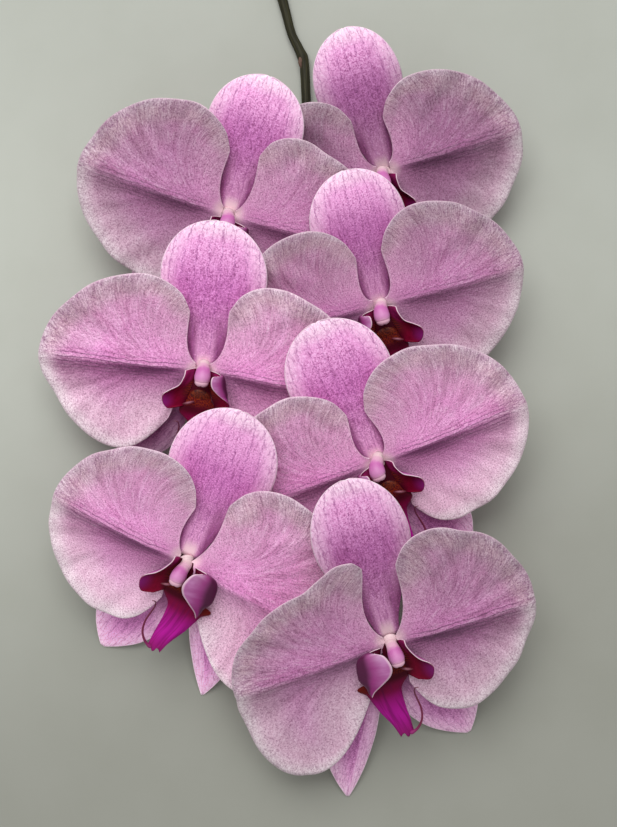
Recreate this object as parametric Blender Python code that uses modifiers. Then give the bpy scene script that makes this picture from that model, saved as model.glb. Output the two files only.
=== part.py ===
# Moth orchid spray: seven blooms in two ranks on one cut stem, lying face up on a surface.
# Metres, +Z up. The stem runs along +Y, its cut end at the far end. The origin is on the
# surface, under the middle of the spray.

import math

import bmesh
import bpy
from mathutils import Matrix, Vector

MM = 0.001
GAP = 0.3  # mm, between pieces that touch

# The layout below is in millimetres, about a point near the middle of the spray.
# This moves it so that the origin is under the middle of the whole.
LAYOUT_MIDDLE = (-8.6, 8.4)

# Each bloom leans on the one behind it: its top is raised, and it faces a little outward.
LEAN = 21.0  # degrees
OUTWARD = 6.0  # degrees

# From the cut end of the stem to its tip. Lengths in mm, angles in degrees.
# side: +1 right of the stem, -1 left. roll: about the bloom's own face, anticlockwise.
# left and right, a petal: its reach, its midrib's turn (anticlockwise from level), the spans of
# its upper and lower halves, and how much fuller each half is than usual, in tenths of the reach.
# dorsal: its length and half width. lateral_left and lateral_right, a lateral sepal: its length,
# half width, turn from straight down, inward hook at the tip, the width of its inner half as a
# share of its outer half, and how far its tip droops.
BLOOMS = (
    dict(side=1, centre=(29.1, 92.2, 21), roll=16.8,
         left=(53, 184, 86, 84, 0.3, 0.3), right=(51.5, -3, 86, 84, 0.3, 0), dorsal=(54, 16.8),
         lateral_left=(46, 12.4, -32, 0, 0.8, 4.4), lateral_right=(46, 12.4, 34, 0, 0.8, 5.3)),
    dict(side=-1, centre=(-30.2, 76.2, 26), roll=-17.5,
         left=(57, 183, 84, 84, -0.2, 0), right=(54.5, 2, 86, 84, 0.1, 0.1), dorsal=(52, 18.3),
         lateral_left=(48, 13, -34, 0, 0.8, 10.2), lateral_right=(48, 13, 32, 0, 0.8, 5)),
    dict(side=1, centre=(27.6, 39.3, 25), roll=14.7,
         left=(57, 182, 86, 84, 0.4, 0.4), right=(53, -1, 88, 84, 0.6, 0.5), dorsal=(54, 18.2),
         lateral_left=(48, 13, -32, 0, 0.8, 5), lateral_right=(48, 13, 32, 0, 0.8, 5)),
    dict(side=-1, centre=(-40.1, 15.8, 28.5), roll=-7.4,
         left=(60, 186, 86, 84, -0.2, 0.2), right=(58, -5, 88, 84, 0.4, 0.2), dorsal=(57, 20),
         lateral_left=(50, 13.5, -32, 0, 0.8, 5), lateral_right=(50, 13.5, 32, 0, 0.8, 5)),
    dict(side=1, centre=(26.8, -19.2, 27.5), roll=23.3,
         left=(60.5, 181, 88, 84, 0.4, 0.2), right=(57, -2, 90, 82, 0.4, 0.2), dorsal=(60, 20),
         lateral_left=(50, 13.5, -32, 0, 0.8, 5), lateral_right=(52, 11.5, 21, 0, 0.9, 5)),
    dict(side=-1, centre=(-47.7, -54.2, 27.4), roll=-20.8,
         left=(52.5, 183, 88, 84, 0.4, 0.8), right=(60, -2, 84, 66, 0.2, 3.0), dorsal=(62, 20.2),
         lateral_left=(55, 14, -17, 0, 1, 6.9), lateral_right=(60, 14, 30, 0.1, 0.4, 4.3)),
    dict(side=1, centre=(30.6, -84.6, 29), roll=15.2,
         left=(61.5, 188, 97, 57, -1.5, 3.4), right=(53.5, -3, 90, 86, 0.8, 0.8), dorsal=(66, 18.2),
         lateral_left=(71.5, 14.5, -26.5, 0.02, 0.5, 3.1), lateral_right=(57, 14.5, 18, 0, 1, 7.2)),
)

SHEET = 0.9  # mm, thickness of petals and sepals
SEPAL_LEVEL = -0.75  # mm, where the sepals' bases lie in the bloom, behind the petals
PETAL_LEVEL = 0.45
PETAL_START = 3.3  # mm from the bloom's middle to the petal's claw
PETAL_CLAW = 2.6  # mm, half the claw's width

# A petal's outline, out from its midrib: the share of the half's span, and its share of the
# petal's reach there. The upper half is the one towards the dorsal sepal.
PETAL_UPPER = ((0, 1.0), (0.3, 0.94), (0.58, 0.83), (0.8, 0.68), (0.95, 0.51), (1, 0.39))
PETAL_LOWER = ((0, 1.0), (0.3, 0.89), (0.6, 0.74), (0.86, 0.56), (1, 0.37))

# A lateral sepal's outline: the share of its length, and of its half width there.
LATERAL_OUTLINE = ((0, 0.14), (0.25, 0.6), (0.5, 0.97), (0.62, 1.0), (0.78, 0.78), (0.9, 0.44),
                   (1, 0.06))
LATERAL_START = (2.6, -2.6)  # mm from the bloom's middle to its base

# The stem's route, (x, y, z), and its radius at its two ends.
STEM_ROUTE = ((-12.3, 169, 1.9), (-9.1, 158.5, 1.9), (-5.5, 147.4, 2.2), (-2.4, 139.1, 2.5),
              (-1.1, 130.7, 3.0), (-0.6, 120, 3.8), (0, 106, 4.5), (1, 90, 5.0), (-1.5, 70, 5.5),
              (1.5, 48, 5.5), (-1.5, 25, 5.5), (1.5, 0, 5.5), (-1, -22, 6.0), (1, -42, 7.0),
              (0, -58, 9.0))
STEM_RADII = (1.9, 1.3)

PEDICEL_RADIUS = 1.3
RECEPTACLE_RADIUS = 5.0

COLUMN_ROUTE = ((0, 0.4, 0.4), (0, 0.8, 3.5), (0, -0.4, 6.8), (0, -2.9, 9.2), (0, -5.6, 10.2),
                (0, -7.2, 10.0))
COLUMN_RADII = (2.9, 2.6, 2.5, 2.9, 2.7, 1.2)

# The lip of a bloom right of the stem; one left of it is its mirror image.
# Its floor: (x, y, z, half width) from the hinge at the column's foot to the tip.
LIP_SHEET = 1.0
LIP_FLOOR = ((0, -3.6, 1.2, 1.6), (-0.8, -7.9, 3.2, 3.2), (-2.2, -13.4, 4.2, 5.0),
             (-3.6, -19.3, 4.2, 8.2), (-4.0, -23.9, 4.6, 6.6), (-3.2, -30.8, 6.6, 4.2),
             (-2.0, -36.5, 9.5, 2.2))
# Its side lobes: where each joins the floor, and its free margin, from the column outward.
INNER_LOBE_ROOT = ((-3.8, -4.6, 3.4), (-5.7, -11.1, 4.4), (-8.9, -18.6, 4.4))
INNER_LOBE_MARGIN = ((-7.6, -2.1, 8), (-4.5, -3.9, 12), (-3.2, -8.2, 13.5), (-6.2, -15.6, 11),
                     (-11.5, -22.7, 6.5))
INNER_LOBE_BULGE = (-4.2, 0, 0)
OUTER_LOBE_ROOT = ((2.4, -4.6, 3.4), (2.9, -11.1, 4.4), (3.1, -17.6, 4.4))
OUTER_LOBE_MARGIN = ((5.0, -0.8, 8), (7.3, -6.2, 10.5), (12.2, -12.4, 11), (11.8, -16.3, 9.5),
                     (7.9, -19.3, 6.5))
OUTER_LOBE_BULGE = (0.8, 0, -1.0)

SEPAL_COLOUR = (0.50, 0.19, 0.41, 1)
PETAL_COLOUR = (0.46, 0.19, 0.36, 1)
LIP_COLOUR = (0.16, 0.008, 0.07, 1)
COLUMN_COLOUR = (0.72, 0.31, 0.56, 1)
STEM_COLOUR = (0.045, 0.041, 0.027, 1)


def clear_scene():
    for obj in list(bpy.data.objects):
        bpy.data.objects.remove(obj)


def collection_named(name, hidden=False):
    made = bpy.data.collections.new(name)
    made.hide_render = hidden
    bpy.context.scene.collection.children.link(made)
    return made


def material(name, colour, roughness):
    made = bpy.data.materials.new(name)
    made.use_nodes = True
    shader = made.node_tree.nodes["Principled BSDF"]
    shader.inputs["Base Color"].default_value = colour
    shader.inputs["Roughness"].default_value = roughness
    shader.inputs["Metallic"].default_value = 0.0
    return made


def through(points, at):
    # A smooth curve through points, each (x, value): the value at x. A value may be a Vector.
    last = len(points) - 2
    k = 0
    while k < last and at > points[k + 1][0]:
        k += 1
    (x0, p0), (x1, p1) = points[k], points[k + 1]
    span = x1 - x0
    s = (at - x0) / span
    before = points[k - 1] if k else points[0]
    after = points[k + 2] if k < last else points[-1]
    slope0 = (p1 - before[1]) * (span / (x1 - before[0]))
    slope1 = (after[1] - p0) * (span / (after[0] - x0))
    return (p0 * (2 * s**3 - 3 * s**2 + 1) + p1 * (3 * s**2 - 2 * s**3)
            + slope0 * (s**3 - 2 * s**2 + s) + slope1 * (s**3 - s**2))


def along(route, share):
    # The point at this share of the way through a route's points.
    spaced = [(k / (len(route) - 1), Vector(p)) for k, p in enumerate(route)]
    return through(spaced, share)


def bloom_frame(bloom):
    # From the bloom's own frame (x right, y to its top, z out of its face; mm) to the world.
    x, y, z = bloom["centre"]
    at = Matrix.Translation((x - LAYOUT_MIDDLE[0], y - LAYOUT_MIDDLE[1], z))
    lean = Matrix.Rotation(math.radians(LEAN), 4, "X")
    outward = Matrix.Rotation(math.radians(OUTWARD * bloom["side"]), 4, "Y")
    roll = Matrix.Rotation(math.radians(bloom["roll"]), 4, "Z")
    return Matrix.Scale(MM, 4) @ at @ lean @ outward @ roll


def sheet(name, across, lengthwise, place, thickness, frame, finish, collection):
    # A thin curved sheet: a grid laid on the surface place(u, v), u from -1 to 1 across
    # and v from 0 to 1 along, thickened to both sides.
    cage = bmesh.new()
    bmesh.ops.create_grid(cage, x_segments=across, y_segments=lengthwise, size=1)
    for vert in cage.verts:
        vert.co = frame @ place(vert.co.x, (vert.co.y + 1) / 2)
    mesh = bpy.data.meshes.new(name)
    cage.to_mesh(mesh)
    cage.free()
    obj = bpy.data.objects.new(name, mesh)
    collection.objects.link(obj)
    mesh.materials.append(finish)
    mesh.shade_smooth()
    solidify = obj.modifiers.new("thickness", "SOLIDIFY")
    solidify.thickness = thickness * MM
    solidify.offset = 0
    return obj


def tube(name, points, radii, sides, finish, collection):
    # A round solid along points, in metres, with its own radius at each.
    curve = bpy.data.curves.new(name, "CURVE")
    curve.dimensions = "3D"
    curve.bevel_depth = MM
    curve.bevel_resolution = (sides - 4) // 2
    curve.use_fill_caps = True
    spline = curve.splines.new("POLY")
    spline.points.add(len(points) - 1)
    for point, place, radius in zip(spline.points, points, radii):
        point.co = (*place, 1)
        point.radius = radius
    curve.materials.append(finish)
    obj = bpy.data.objects.new(name, curve)
    collection.objects.link(obj)
    return obj


def petal_place(reach, turn, upper_span, lower_span, upper_full, lower_full, side):
    # side is +1 for a petal on the bloom's right and -1 on its left.
    angle = math.radians(turn if side > 0 else 180 - turn)

    def place(u, v):
        share = math.sin(abs(u) * math.pi / 2)
        if u > 0:
            fan = math.radians(upper_span * share)
            out = through(PETAL_UPPER, share) + upper_full * 0.1 * math.sin(math.pi * share)
        else:
            fan = math.radians(-lower_span * share)
            out = through(PETAL_LOWER, share) + lower_full * 0.1 * math.sin(math.pi * share**2)
        fan *= 1 - 0.3 * share * (1 - v) ** 2
        out *= v**1.2 * reach
        x = out * math.cos(fan)
        y = out * math.sin(fan) + (1 - v) * u * PETAL_CLAW
        out = math.hypot(x, y)
        z = (PETAL_LEVEL + 2.5 * (1 - math.exp(-out / 7))
             - 2.2 * math.tanh(out / 12) * math.tanh(abs(y) / 5)
             + 5.5 * (y / 40) ** 2
             - 3.0 * (x / 55) ** 2)
        turned = Vector((x * math.cos(angle) - y * math.sin(angle),
                         x * math.sin(angle) + y * math.cos(angle), z))
        return Vector((side * (PETAL_START + turned.x), turned.y + 0.8, turned.z))

    return place


def dorsal_place(length, half_width):
    widest = 0.62

    def place(u, v):
        t = math.sin(v * math.pi / 2) * 0.995
        if t < widest:
            share = 0.21 + 0.79 * math.sin(math.pi / 2 * t / widest) ** 2
        else:
            share = math.sqrt(1 - ((t - widest) / (1 - widest)) ** 2)
        z = SEPAL_LEVEL + 1.0 * t - 4.0 * t**3 - 2.5 * (u * share) ** 2
        return Vector((u * share * half_width, 0.6 + t * length, z))

    return place


def lateral_place(length, half_width, turn, hook, inner, droop):
    side = math.copysign(1, turn)
    down = math.radians(turn - 90)

    def place(u, v):
        # u runs anticlockwise across, so the inner half is the one with u * side < 0.
        share = through(LATERAL_OUTLINE, v)
        width = half_width * (1 if u * side > 0 else 1 - (1 - inner) * min(1, 4 * v))
        z = SEPAL_LEVEL - droop * (0.3 * v + 0.7 * v**2) - 2.0 * (u * share) ** 2
        x = v * length
        y = u * share * width - side * hook * length * v**3
        return Vector((side * LATERAL_START[0] + x * math.cos(down) - y * math.sin(down),
                       LATERAL_START[1] + x * math.sin(down) + y * math.cos(down), z))

    return place


def lip_floor_place(side):
    spaced = [(k / (len(LIP_FLOOR) - 1), Vector(row)) for k, row in enumerate(LIP_FLOOR)]

    def place(u, v):
        x, y, z, half = through(spaced, v)
        return Vector((side * (x + u * half), y, z - 0.10 * half * u * u))

    return place


def lobe_place(root, margin, bulge, side):
    def place(u, v):
        rise = (u + 1) / 2
        point = along(root, v).lerp(along(margin, v), rise) + Vector(bulge) * math.sin(math.pi * rise)
        return Vector((side * point.x, point.y, point.z))

    return place


def as_solid(obj, collection):
    # The object with its modifiers applied, facing out, as a plain mesh object.
    graph = bpy.context.evaluated_depsgraph_get()
    mesh = bpy.data.meshes.new_from_object(obj.evaluated_get(graph))
    solid = bmesh.new()
    solid.from_mesh(mesh)
    bmesh.ops.remove_doubles(solid, verts=solid.verts, dist=0.00001)
    bmesh.ops.recalc_face_normals(solid, faces=solid.faces)
    solid.to_mesh(mesh)
    solid.free()
    made = bpy.data.objects.new(obj.name, mesh)
    made.matrix_world = obj.matrix_world
    bpy.data.objects.remove(obj)
    collection.objects.link(made)
    return made


def make_lip(number, side, frame, finish, parts, cutters):
    floor = sheet("floor", 4, 9, lip_floor_place(side), LIP_SHEET, frame, finish, parts)
    floor = as_solid(floor, parts)
    floor.name = f"lip_{number}"
    lobes = ((INNER_LOBE_ROOT, INNER_LOBE_MARGIN, INNER_LOBE_BULGE),
             (OUTER_LOBE_ROOT, OUTER_LOBE_MARGIN, OUTER_LOBE_BULGE))
    for k, (root, margin, bulge) in enumerate(lobes):
        lobe = sheet(f"lobe_{number}_{k}", 4, 5, lobe_place(root, margin, bulge, side), LIP_SHEET,
                     frame, finish, cutters)
        lobe = as_solid(lobe, cutters)
        lobe.hide_render = True
        lobe.display_type = "WIRE"
        join = floor.modifiers.new(f"lobe_{k}", "BOOLEAN")
        join.operation = "UNION"
        join.object = lobe


def make_column(number, frame, finish, parts):
    points = [frame @ Vector(p) for p in COLUMN_ROUTE]
    tube(f"column_{number}", points, COLUMN_RADII, 8, finish, parts)


def make_stem(finish, parts):
    steps = 22
    points = []
    for k in range(steps + 1):
        x, y, z = along(STEM_ROUTE, k / steps)
        points.append(Vector((x - LAYOUT_MIDDLE[0], y - LAYOUT_MIDDLE[1], z)) * MM)
    thick, thin = STEM_RADII
    radii = [thick + (thin - thick) * k / steps for k in range(steps + 1)]
    tube("stem", points, radii, 8, finish, parts)


def stem_at(y):
    # The stem's centre line at this y, in layout millimetres.
    spaced = [(-p[1], Vector(p)) for p in STEM_ROUTE]
    return through(spaced, -y)


def make_pedicel(number, bloom, frame, finish, parts):
    side = bloom["side"]
    node_y = max(bloom["centre"][1] + 14, STEM_ROUTE[-1][1] + 3)
    node = stem_at(node_y)
    middle = Vector((-LAYOUT_MIDDLE[0], -LAYOUT_MIDDLE[1], 0))
    start = (node + Vector((side * (STEM_RADII[0] + 2 * GAP), 0, 0)) + middle) * MM
    behind = frame @ Vector((0, 0, -9))
    back = frame @ Vector((0, 0, -3.4))
    low = start.lerp(behind, 0.5)
    low.z = start.z + 0.25 * (behind.z - start.z)
    route = [start, low, behind, back]
    steps = 7
    points = [along(route, k / steps) for k in range(steps + 1)]
    radii = [PEDICEL_RADIUS] * (steps + 1)
    points += [frame @ Vector((0, 0, -2.9)), frame @ Vector((0, 0, SEPAL_LEVEL - SHEET / 2 - GAP))]
    radii += [RECEPTACLE_RADIUS - 0.4, RECEPTACLE_RADIUS]
    tube(f"pedicel_{number}", points, radii, 8, finish, parts)


def make_bloom(number, bloom, finishes, parts, cutters):
    frame = bloom_frame(bloom)
    sepal, petal, lip, column, stem = finishes
    make_pedicel(number, bloom, frame, stem, parts)
    for name, shape in (("dorsal_sepal", dorsal_place(*bloom["dorsal"])),
                        ("lateral_sepal_left", lateral_place(*bloom["lateral_left"])),
                        ("lateral_sepal_right", lateral_place(*bloom["lateral_right"]))):
        sheet(f"{name}_{number}", 4, 6, shape, SHEET, frame, sepal, parts)
    for name, shape in (("petal_left", petal_place(*bloom["left"], -1)),
                        ("petal_right", petal_place(*bloom["right"], 1))):
        sheet(f"{name}_{number}", 12, 5, shape, SHEET, frame, petal, parts)
    make_column(number, frame, column, parts)
    make_lip(number, bloom["side"], frame, lip, parts, cutters)


def main():
    clear_scene()
    parts = collection_named("orchid_spray")
    cutters = collection_named("cutters", hidden=True)
    finishes = (
        material("sepal_skin", SEPAL_COLOUR, 0.5),
        material("petal_skin", PETAL_COLOUR, 0.5),
        material("lip_flesh", LIP_COLOUR, 0.35),
        material("column_flesh", COLUMN_COLOUR, 0.4),
        material("stem_skin", STEM_COLOUR, 0.5),
    )
    make_stem(finishes[4], parts)
    for number, bloom in enumerate(BLOOMS, 1):
        make_bloom(number, bloom, finishes, parts, cutters)


main()
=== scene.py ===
from functools import partial
from math import copysign, cos, exp, hypot, pi, radians, sin, sqrt, tanh

import bmesh
import bpy
from mathutils import Matrix, Vector


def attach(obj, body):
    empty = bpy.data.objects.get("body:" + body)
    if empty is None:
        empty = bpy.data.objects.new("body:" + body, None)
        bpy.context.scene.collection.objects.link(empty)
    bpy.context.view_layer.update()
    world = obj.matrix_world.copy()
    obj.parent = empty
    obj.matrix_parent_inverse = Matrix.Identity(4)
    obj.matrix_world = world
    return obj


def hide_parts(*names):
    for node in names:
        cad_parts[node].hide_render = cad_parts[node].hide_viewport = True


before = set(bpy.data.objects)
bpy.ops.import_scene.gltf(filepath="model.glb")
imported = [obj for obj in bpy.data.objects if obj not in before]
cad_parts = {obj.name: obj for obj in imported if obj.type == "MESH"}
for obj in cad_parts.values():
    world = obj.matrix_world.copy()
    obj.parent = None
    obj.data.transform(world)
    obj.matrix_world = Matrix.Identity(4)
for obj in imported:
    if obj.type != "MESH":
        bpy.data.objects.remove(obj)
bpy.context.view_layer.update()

# A cut spray of a moth orchid, lying face up, seen from straight above.
# The CAD says where each piece is; here each one gets its living shape and skin.
# Lengths are in millimetres until a piece's frame turns them to metres.

mm = 0.001

# where the blooms sit, as in the CAD: mm from a point near the middle of the spray
spray = dict(
    middle=(-8.6, 8.4),
    lean=21,  # degrees, each bloom's top raised on the one behind it
    outward=6,  # degrees, each faces a little away from the stem
)
sprayToWorld = (Matrix.Scale(mm, 4)
                @ Matrix.Translation((-spray["middle"][0], -spray["middle"][1], 0)))

# from the cut end of the stem to its tip; side is +1 right of the stem and -1 left of it
# heart: where the column comes out; nod: how far its tip leans over
# tone and shading: how pale the left petal, right petal, dorsal and lateral sepals and lip are; 1
# is plain; partly their own colour and partly painted light and shade, each piece lighter or
# darker as it lay to the light
# petals, left and right: reach, turn of the midrib, spans of the upper and lower halves, how
# full each half is, how far out the inner corner is, and how full it is just below the tip
# creases: how far each lies above the midrib, its slope, and how deep it is
# dorsal: length, half width; laterals: length, half width, turn, hook, inner half, droop
# lip: how far it is shifted, and its turn, if it isn't straight
blooms = (
    dict(side=1, centre=(29.1, 92.2, 21), roll=16.8, heart=(-0.9, 1.4), nod=-1.4,
         toneAndShading=(0.47, 0.56, 0.64, 0.7, 0.8), dorsal=(55, 16.8), lip=(-2.2, -0.8, -16),
         creases=((0.5, 0, 0.8), (0.5, 0.026, 0.8)),
         petals=((53, 184, 82, 84, 0.4, 0.3, 0.04, 0), (51.5, -3, 86, 104, 0, 0, 0, 0)),
         laterals=((46, 12.4, -32, 0, 0.8, 4.4), (46, 12.4, 34, 0, 0.8, 5.3))),
    dict(side=-1, centre=(-30.2, 76.2, 26), roll=-17.5, heart=(0, 0.3), nod=-1.4,
         toneAndShading=(0.73, 0.94, 0.96, 0.9, 0.9), dorsal=(52, 18.3), lip=(0, -3.8, 0),
         creases=((-1.5, 0.067, 0.8), (-1.5, 0.053, 0.7)),
         petals=((57, 183, 84, 84, 0.1, 0, 0, 0), (54.5, 2, 81, 84, -0.1, 0.1, 0.05, 0)),
         laterals=((48, 13, -34, 0, 0.8, 10.2), (48, 13, 32, 0, 0.8, 5))),
    dict(side=1, centre=(27.6, 39.3, 25), roll=14.7, heart=(0.4, 3.4), nod=-1.4,
         toneAndShading=(0.92, 0.79, 0.9, 0.9, 1.1), dorsal=(54, 18.2),
         creases=((2.2, 0.06, 0.7), (1.7, 0, 0.65)),
         petals=((57, 182, 86, 84, 0.4, 0.4, 0, 0), (53, -1, 84, 84, 0.6, 0.1, 0.04, 0)),
         laterals=((48, 13, -32, 0, 0.8, 5), (48, 13, 32, 0, 0.8, 5))),
    dict(side=-1, centre=(-40.1, 15.8, 28.5), roll=-7.4, heart=(-0.7, 3.7), nod=-0.8,
         toneAndShading=(1.2, 1.32, 1.18, 0.8, 1.4), dorsal=(57, 20),
         creases=((0.6, 0.036, 1.1), (0.9, 0.045, 0.8)),
         petals=((60, 186, 86, 62, -0.3, 0.9, 0, 0), (58, -5, 82, 84, 0.4, 0.2, 0.06, 0)),
         laterals=((50, 13.5, -32, 0, 0.8, 5), (50, 13.5, 32, 0, 0.8, 5))),
    dict(side=1, centre=(26.8, -19.2, 27.5), roll=23.3, heart=(0.7, 4.1), nod=-2.6,
         toneAndShading=(1.24, 1.16, 1.18, 1.15, 1.1), dorsal=(60, 20),
         creases=((1.7, 0.08, 0.7), (0.9, -0.01, 1)),
         petals=((60.5, 181, 88, 84, 0.4, 0.2, 0, 0), (57, -2, 90, 80, 0.6, 0, 0, 0)),
         laterals=((50, 13.5, -32, 0, 0.8, 5), (52, 12.5, 18.5, 0, 1.1, 5))),
    dict(side=-1, centre=(-46.1, -54.4, 27.4), roll=-20.8, heart=(-0.9, -1.7), nod=1.2,
         toneAndShading=(1.18, 1.28, 1.2, 1.3, 1.1), dorsal=(62, 20.2), lip=(-0.6, 0.5, -5),
         creases=((-1.7, 0.142, 1), (-3.5, -0.09, 0.25)),
         petals=((51.8, 183, 90, 84, 1.2, 0.6, 0.03, 0), (60, -2, 80.5, 66, 0.7, 3, 0.08, 0)),
         laterals=((55, 14, -17, 0, 1, 6.9), (60, 14, 28, 0.1, 0.4, 4.3))),
    dict(side=1, centre=(30.6, -84.6, 29), roll=15.2, heart=(-0.1, -1), nod=0.4,
         toneAndShading=(0.8, 0.78, 0.82, 1, 0.85), dorsal=(66, 18.2),
         creases=((-1.6, 0.05, 0.6), (-2.3, 0.041, 1)),
         petals=((59.3, 188, 97, 57, -1.35, 3.7, 0.16, 0.09),
                 (53.5, -3, 80.5, 86, 1.5, 0.8, 0.2, 0)),
         laterals=((71.5, 14.5, -26.5, 0.02, 0.4, 3.1), (57, 14.5, 18, 0, 1, 7.2))),
)


# helpers for shape

def through(points, at):
    # the value at x = at of a smooth curve through points, each (x, value)
    last = len(points) - 2
    k = 0
    while k < last and at > points[k + 1][0]:
        k += 1
    (x0, p0), (x1, p1) = points[k], points[k + 1]
    span = x1 - x0
    s = (at - x0) / span
    before = points[k - 1] if k else points[0]
    after = points[k + 2] if k < last else points[-1]
    slope0 = (p1 - before[1]) * (span / (x1 - before[0]))
    slope1 = (after[1] - p0) * (span / (after[0] - x0))
    return (p0 * (2 * s**3 - 3 * s**2 + 1) + p1 * (3 * s**2 - 2 * s**3)
            + slope0 * (s**3 - 2 * s**2 + s) + slope1 * (s**3 - s**2))


def along(route, share):
    # the point at this share of the way through a route's points
    return through([(k / (len(route) - 1), Vector(p)) for k, p in enumerate(route)], share)


def smooth(low, high, value):
    t = min(1, max(0, (value - low) / (high - low)))
    return t * t * (3 - 2 * t)


def bloomFrame(bloom):
    # from the bloom's own frame (x right, y to its top, z out of its face; mm) to the world
    x, y, z = bloom["centre"]
    at = Matrix.Translation((x - spray["middle"][0], y - spray["middle"][1], z))
    lean = Matrix.Rotation(radians(spray["lean"]), 4, "X")
    outward = Matrix.Rotation(radians(spray["outward"] * bloom["side"]), 4, "Y")
    roll = Matrix.Rotation(radians(bloom["roll"]), 4, "Z")
    return Matrix.Scale(mm, 4) @ at @ lean @ outward @ roll


def settle(piece, node):
    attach(piece, "root")
    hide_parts(node)


def newPiece(name, cage, skins):
    mesh = bpy.data.meshes.new(name)
    cage.to_mesh(mesh)
    cage.free()
    piece = bpy.data.objects.new(name, mesh)
    bpy.context.scene.collection.objects.link(piece)
    for skin in skins:
        mesh.materials.append(skin)
    mesh.shade_smooth()
    return piece


def makeSheet(name, shape, place, skins, toWorld, facing=(0, 0, 1)):
    # a living sheet: a grid laid on place(u, v), thickened to both sides, thin at its rim
    # place gives a point, the share of full thickness, and three sets of numbers for the skin
    # skins: the face's, the back's and the rim's; facing: the way the face looks
    cage = bmesh.new()
    wide, long = shape["grid"]
    bmesh.ops.create_grid(cage, x_segments=wide, y_segments=long, size=1)
    layers = [cage.verts.layers.float_vector.new(key) for key in ("pattern", "spot", "margin")]
    weight = cage.verts.layers.deform.verify()
    for vert in cage.verts:
        point, thick, *numbers = place(vert.co.x, (vert.co.y + 1) / 2)
        vert.co = toWorld @ point
        vert[weight][0] = thick
        for layer, value in zip(layers, numbers):
            vert[layer] = value
    cage.normal_update()
    outward = toWorld.to_3x3() @ Vector(facing)
    if sum(face.normal.dot(outward) * face.calc_area() for face in cage.faces) < 0:
        bmesh.ops.reverse_faces(cage, faces=cage.faces)
    piece = newPiece(name, cage, skins)
    piece.vertex_groups.new(name="thick")
    thicken = piece.modifiers.new("thickness", "SOLIDIFY")
    thicken.thickness = shape["thickness"] * mm
    thicken.offset = 0
    thicken.vertex_group = "thick"
    thicken.material_offset = 1
    thicken.material_offset_rim = 2
    return piece


def makeRound(name, grid, place, skin, toWorld):
    # a closed round body: a grid rolled up, u around and v from end to end
    cage = bmesh.new()
    bmesh.ops.create_grid(cage, x_segments=grid[0], y_segments=grid[1], size=1)
    layers = [cage.verts.layers.float_vector.new(key) for key in ("pattern", "spot")]
    for vert in cage.verts:
        point, *numbers = place(vert.co.x * pi, (vert.co.y + 1) / 2)
        vert.co = toWorld @ point
        for layer, value in zip(layers, numbers):
            vert[layer] = value
    bmesh.ops.remove_doubles(cage, verts=cage.verts, dist=0.01 * mm)
    bmesh.ops.recalc_face_normals(cage, faces=cage.faces)
    return newPiece(name, cage, [skin])


def tubeAlong(route, radii, squash=1, seed=0):
    # a place function for makeRound: a tube along a route, with its radius at each share
    def place(turn, share):
        centre = along(route, share)
        ahead = along(route, min(1, share + 0.01)) - along(route, max(0, share - 0.01))
        ahead.normalize()
        side = ahead.cross(Vector((0, 0, 1)) if abs(ahead.z) < 0.9 else Vector((0, 1, 0)))
        side.normalize()
        up = side.cross(ahead)
        radius = through(radii, share)
        point = centre + side * (cos(turn) * radius) + up * (sin(turn) * radius * squash)
        return point, (turn, share, seed), tuple(point)

    return place


# helpers for finish

def toLinear(hexColour):
    parts = [int(hexColour[k:k + 2], 16) / 255 for k in (1, 3, 5)]
    return (*[p / 12.92 if p <= 0.04045 else ((p + 0.055) / 1.055) ** 2.4 for p in parts], 1)


def addNode(skin, kind, settings, output=0):
    # kind: the node's name, and its operation if it has one
    # settings: its own options, and its sockets' values or sources by name or number
    # a ramp's stops are (position, hex colour); with no output named, all of them are given
    kind, *operation = kind.split()
    node = skin.node_tree.nodes.new("ShaderNode" + kind)
    if operation:
        node.operation = operation[0]
    for key, value in settings.items():
        if key == "stops":
            node.color_ramp.interpolation = "EASE"
            elements = node.color_ramp.elements
            while len(elements) < len(value):
                elements.new(0.5)
            for element, (position, colour) in zip(elements, value):
                element.position = position
                element.color = toLinear(colour)
        elif isinstance(value, bpy.types.NodeSocket):
            skin.node_tree.links.new(value, node.inputs[key])
        elif isinstance(key, int) or key in node.inputs:
            node.inputs[key].default_value = value
        else:
            setattr(node, key, value)
    return node.outputs if output is None else node.outputs[output]


def newSkin(name):
    # a material, and the function that adds to it
    skin = bpy.data.materials.new(name)
    skin.use_nodes = True
    skin.node_tree.nodes.clear()
    return skin, partial(addNode, skin)


def finishSkin(skin, add, colour, finish, toneAndShading=None, height=None, **others):
    # one shader on the output, with the values that are the same all over on its own sockets
    # tone: the depth of the colour, with painted light and shade in it; height: what the relief
    # follows; others replace the finish's
    finish = {"sheen": 0, **finish, **others}
    if toneAndShading is not None:
        colour = add("VectorMath SCALE", {0: colour, "Scale": toneAndShading})
    settings = {"Base Color": colour, "Roughness": finish["roughness"],
                "Specular IOR Level": finish["gloss"], "Sheen Weight": finish["sheen"]}
    if height is not None:
        strength, deep = finish["relief"]
        settings["Normal"] = add("Bump", {
            "Strength": strength, "Distance": deep * mm, "Height": height})
    add("OutputMaterial", {"Surface": add("BsdfPrincipled", settings)}, None)
    return skin


def readNumbers(add, *names):
    # each named set of numbers: its vector, then its three parts
    for name in names:
        source = add("Attribute", {"attribute_name": name}, "Vector")
        yield source, *add("SeparateXYZ", {0: source}, None)


def readMasks(add, **rows):
    # each mask: its source, the span it is read over, and its value at each end of the span
    return {name: add("MapRange", {
        "interpolation_type": "SMOOTHSTEP", "Value": source, "From Min": low, "From Max": high,
        "To Min": start, "To Max": end}) for name, (source, low, high, start, end) in rows.items()}


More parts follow.
